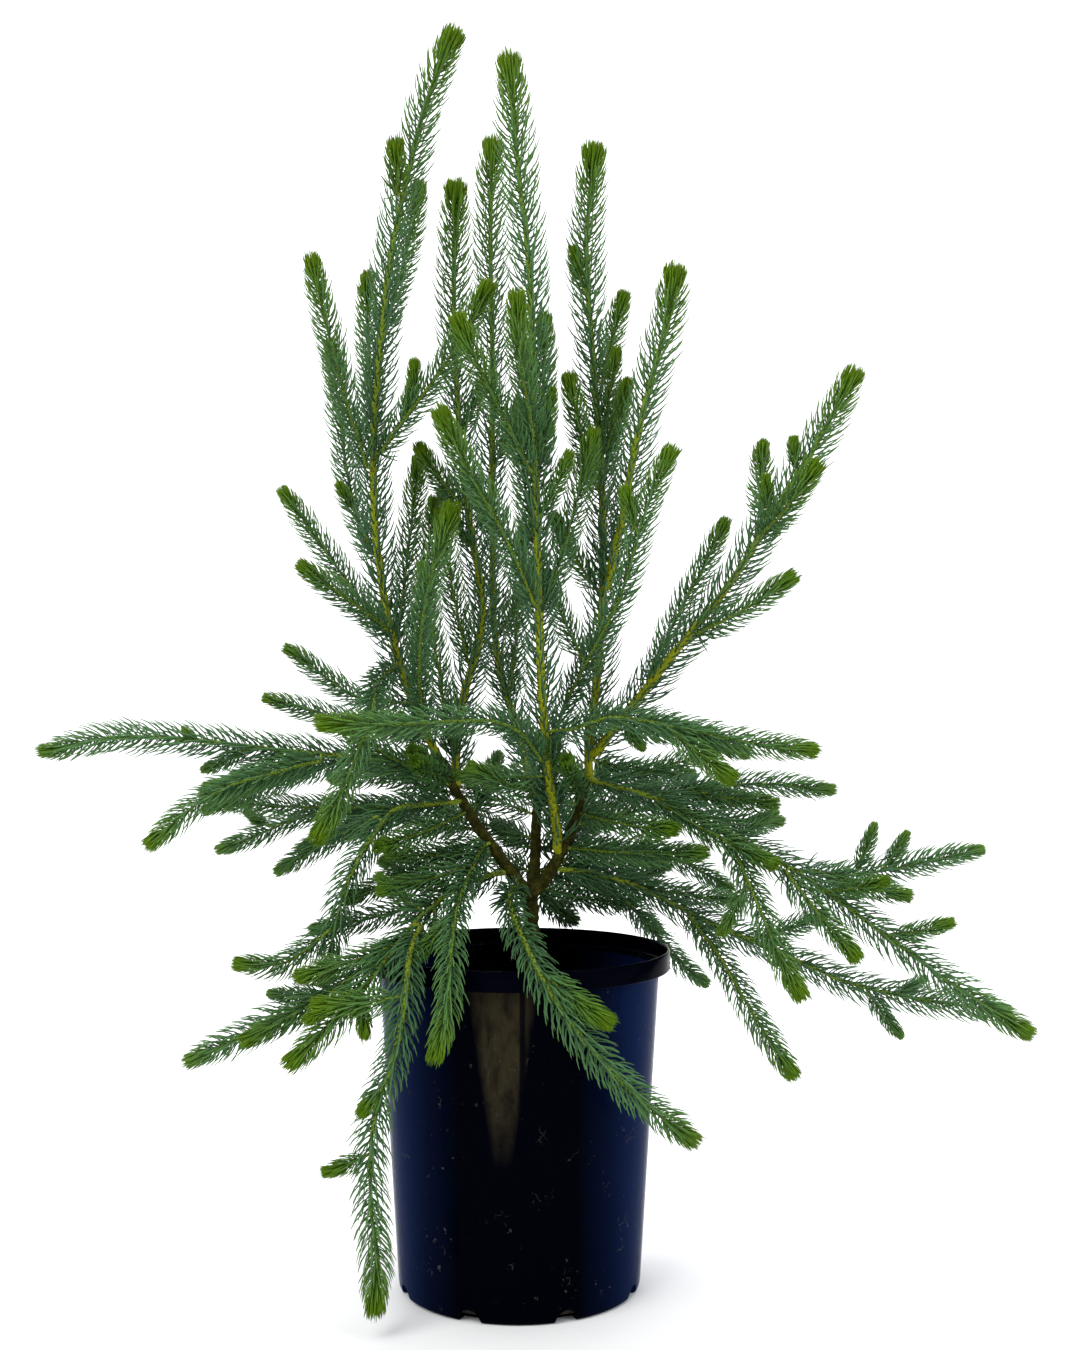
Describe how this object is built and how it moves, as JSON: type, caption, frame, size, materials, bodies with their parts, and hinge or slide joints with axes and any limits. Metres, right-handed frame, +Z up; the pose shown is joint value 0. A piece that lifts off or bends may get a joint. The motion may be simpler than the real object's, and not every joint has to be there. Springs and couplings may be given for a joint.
{
  "type": "potted brunia plant",
  "caption": "Upright heath-like shrub with slender needle-clad shoots on a short forked trunk, growing in a round black plastic nursery pot filled with potting mix",
  "frame": {"origin": "middle of the pot's flat base", "axes": "+Z up the plant, its longest extent; +X to the plant's right seen from the front; front on -Y"},
  "size_m": [0.5461, 0.2143, 0.709],
  "materials": {
    "pot_plastic": "black, slightly glossy, dusty",
    "potting_mix": "rough dark bark and peat",
    "bark": "rough brown bark",
    "foliage": "satin green needles"
  },
  "bodies": {
    "root": {"pot": "pot_plastic", "potting_mix": "potting_mix", "trunk": "bark", "limb_left": "bark", "limb_middle": "bark", "limb_right": "bark", "leader_left": "foliage", "leader_front": "foliage", "leader_mid_left": "foliage", "leader_back": "foliage", "leader_right": "foliage", "leader_right_fork": "foliage", "leader_slanting": "foliage", "left_side_1": "foliage", "left_side_2": "foliage", "left_side_3": "foliage", "left_side_4": "foliage", "left_side_5": "foliage", "left_side_6": "foliage", "left_side_7": "foliage", "left_side_8": "foliage", "left_side_9": "foliage", "left_side_10": "foliage", "left_side_11": "foliage", "middle_side_1": "foliage", "middle_side_2": "foliage", "middle_side_3": "foliage", "middle_side_4": "foliage", "middle_side_5": "foliage", "middle_side_6": "foliage", "right_side_1": "foliage", "right_side_2": "foliage", "right_side_3": "foliage", "right_side_4": "foliage", "slanting_side_1": "foliage", "slanting_side_2": "foliage", "slanting_side_3": "foliage", "slanting_side_4": "foliage", "outer_left_1": "foliage", "outer_left_2": "foliage", "outer_left_3": "foliage", "outer_left_4": "foliage", "outer_left_5": "foliage", "outer_left_6": "foliage", "outer_right_1": "foliage", "outer_right_2": "foliage", "outer_right_3": "foliage", "outer_right_4": "foliage", "outer_right_5": "foliage", "outer_right_6": "foliage", "outer_right_7": "foliage", "outer_right_8": "foliage", "outer_right_9": "foliage", "outer_right_10": "foliage", "trailing_1": "foliage", "trailing_2": "foliage", "trailing_3": "foliage", "trailing_4": "foliage", "trailing_5": "foliage", "trailing_6": "foliage"}
  },
  "joints": []
}
